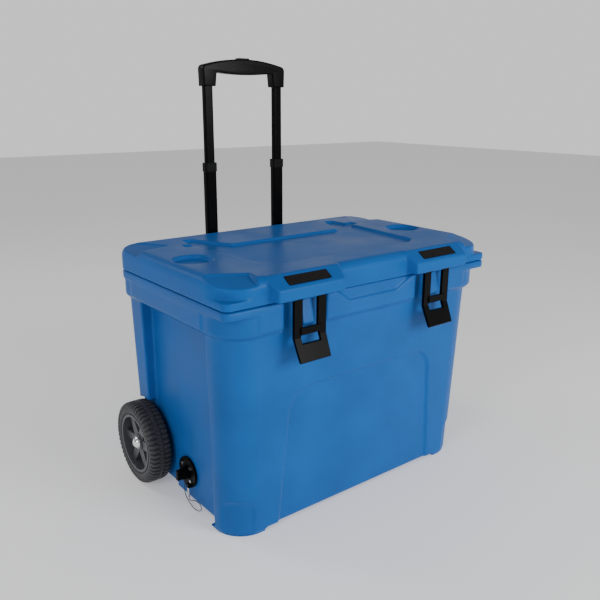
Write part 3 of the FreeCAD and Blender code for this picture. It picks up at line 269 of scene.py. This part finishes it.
def moulded(name, node, voxel, rounds, keep, body, slot):
    """A soft-edged moulding: the node's outer form resampled, smoothed and thinned."""
    obj = bpy.data.objects.new(name + "_work", outer_skin(node))
    bpy.context.collection.objects.link(obj)
    mod = obj.modifiers.new("resample", "REMESH")
    mod.mode = "VOXEL"
    mod.voxel_size = voxel * MM
    smooth = obj.modifiers.new("smooth", "SMOOTH")
    smooth.factor = 0.5
    smooth.iterations = rounds
    thin = obj.modifiers.new("thin", "DECIMATE")
    thin.ratio = keep
    bpy.context.view_layer.update()
    graph = bpy.context.evaluated_depsgraph_get()
    mesh = bpy.data.meshes.new_from_object(obj.evaluated_get(graph))
    mesh.name = name
    bpy.data.objects.remove(obj)
    mesh.polygons.foreach_set("use_smooth", [True] * len(mesh.polygons))
    link(name, mesh, body, slot, node)


def rounded_grip():
    """The grip with its outer edges rounded; the slot inside for the release stays as it is."""
    bm = bmesh.new()
    bm.from_mesh(NODES["grip"].data)
    bmesh.ops.remove_doubles(bm, verts=bm.verts, dist=1e-6)
    bmesh.ops.dissolve_limit(bm, angle_limit=0.02, verts=bm.verts, edges=bm.edges)
    outer = [e for e in bm.edges if len(e.link_faces) == 2 and e.calc_face_angle(0) > 0.7
             and all(abs(v.co.y - GRIP_MIDDLE_Y) > GRIP_SLOT_HALF for v in e.verts)
             and abs(e.verts[0].co.y - e.verts[1].co.y) < 1 * MM]
    bmesh.ops.bevel(bm, geom=outer, offset=GRIP_ROUND, offset_type="OFFSET", segments=5, profile=0.5,
                    affect="EDGES", clamp_overlap=True)
    mesh = bpy.data.meshes.new("grip_moulding")
    bm.to_mesh(mesh)
    bm.free()
    smooth_but_sharp_edges(mesh)
    link("grip_moulding", mesh, "handle_inner", "grip_plastic", "grip")


def ring_mesh(name, rings, centre):
    """A closed mesh through rings of points about a centre, the last ring joined to the first."""
    verts = [p for ring in rings for p in ring]
    count = len(rings[0])
    faces = []
    for i in range(len(rings)):
        j = (i + 1) % len(rings)
        for k in range(count):
            m = (k + 1) % count
            faces.append((i * count + k, j * count + k, j * count + m, i * count + m))
    mesh = bpy.data.meshes.new(name)
    mesh.from_pydata([tuple(Vector(p) + centre) for p in verts], [], faces)
    bm = bmesh.new()
    bm.from_mesh(mesh)
    bmesh.ops.recalc_face_normals(bm, faces=bm.faces)
    bm.to_mesh(mesh)
    bm.free()
    smooth_but_sharp_edges(mesh)
    return mesh


def tread_cut(x, turn):
    """How deep the tread is cut, in mm, at x mm from the cooler's middle and a share of a turn."""
    def lug(count, share, shift=0.0):
        place = (turn * count + shift) % 1.0
        if place < share:
            return 0.0
        return min(1.0, min(place - share, 1.0 - place) / LUG_EDGE)

    if x < 309.5:
        return INNER_CUT * lug(LUGS, LUG_SHARE, 0.5)
    if x < 311.5:
        return 2.2
    if x < 319:
        return 1.4 * lug(FINE_LUGS, 0.8, 0.3)
    if x < 320.5:
        return 1.8
    return LUG_CUT * lug(LUGS, LUG_SHARE)


def tyre(side):
    """One tyre, from its section as (x, radius) in mm; its outer lugs run down onto the sidewall."""
    name = "left" if side < 0 else "right"
    crown = [(296.0, 82.9), (299, 84.0), (303, 84.3), (309.0, 84.35), (309.8, 84.3), (311.2, 84.3),
             (311.9, 84.35), (318.6, 84.35), (319.2, 84.35), (320.3, 84.3), (320.9, 84.3), (327, 84.1),
             (331, 83.4), (334, 81.8)]
    outline = [(293.4, 60.0), (293.2, 72.0), (293.8, 78.5)] + crown
    outline += [(335.8, 79.2), (336.6, 76.0), (336.6, 73.5), (335.6, 72.4), (335.6, 70.8), (336.4, 69.8),
                (336.6, 65.5), (335.6, 63.2), (333.6, 62.0), (333.4, 60.0)]
    rings = []
    for x, radius in outline:
        ring = []
        for k in range(TREAD_STEPS):
            turn = k / TREAD_STEPS
            cut, slip = 0.0, 0.0
            if (x, radius) in crown:
                cut = tread_cut(x, turn)
            if x > 335.5 and radius > 75.9:
                slip = 0.7 * tread_cut(330, turn)
                cut = 0.5 * slip
            if x < 294 and radius > 75:
                slip = -0.5 * tread_cut(300, turn)
            angle = 2 * math.pi * turn
            r = (radius - cut) * MM
            ring.append((side * (x - slip) * MM, r * math.sin(angle), r * math.cos(angle)))
        rings.append(ring)
    piece = "tyre_tread_" + name
    link(piece, ring_mesh(piece, rings, WHEEL_CENTRE), "wheel_" + name, "tyre_rubber", "tyre_" + name)


LANYARD = [
    (-288.0, 15.0, 34.0), (-290.0, 14.5, 26.0), (-293.0, 9.0, 18.0), (-294.5, 0.0, 11.5),
    (-296.0, -18.0, 5.0), (-297.0, -34.0, 3.5), (-297.0, -52.0, 6.5), (-296.5, -62.0, 15.0),
    (-296.0, -58.0, 23.0), (-295.0, -44.0, 23.0), (-294.0, -26.0, 17.0), (-293.5, -13.0, 8.5),
    (-293.5, -8.0, 12.0),
]


def lanyard():
    """The plug's wire tether, along the same points as the solid one."""
    curve = bpy.data.curves.new("lanyard", "CURVE")
    curve.dimensions = "3D"
    curve.bevel_depth = TETHER_D / 2
    curve.bevel_resolution = 4
    curve.resolution_u = 12
    spline = curve.splines.new("NURBS")
    spline.points.add(len(LANYARD) - 1)
    for point, place in zip(spline.points, LANYARD):
        point.co = (place[0] * MM, place[1] * MM, place[2] * MM, 1)
    spline.order_u = 3
    spline.use_endpoint_u = True
    obj = bpy.data.objects.new("lanyard_wire", curve)
    bpy.context.collection.objects.link(obj)
    curve.materials.append(MATS["wire_steel"])
    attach(obj, "tub")
    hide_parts("drain_lanyard")


def soften_nodes():
    """Small bevels, in mm, on the hard parts that are shown as they are."""
    for end in ("_left", "_right"):
        for stem, width in (("latch", 0.9), ("lid_pad", 0.4), ("wheel_rim", 0.7), ("outer_tube", 0.4),
                            ("outer_collar", 0.8), ("middle_collar", 0.8), ("hinge_bracket", 0.8)):
            softened(stem + end, width)
    for stem, width in (("handle_upper_bracket", 1.5), ("handle_lower_bracket", 1.5), ("drain_flange", 0.7),
                        ("drain_plug", 1.2), ("release_button", 0.4), ("drain_nut", 0.5)):
        softened(stem, width)


camera()
lanyard()
studio()
soften_nodes()
moulded("tub_moulding", "body_shell", 2.2, 7, 0.22, "tub", "tub_plastic")
moulded("lid_moulding", "lid_shell", 1.8, 7, 0.25, "lid", "lid_plastic")
rounded_grip()
tyre(-1)
tyre(1)
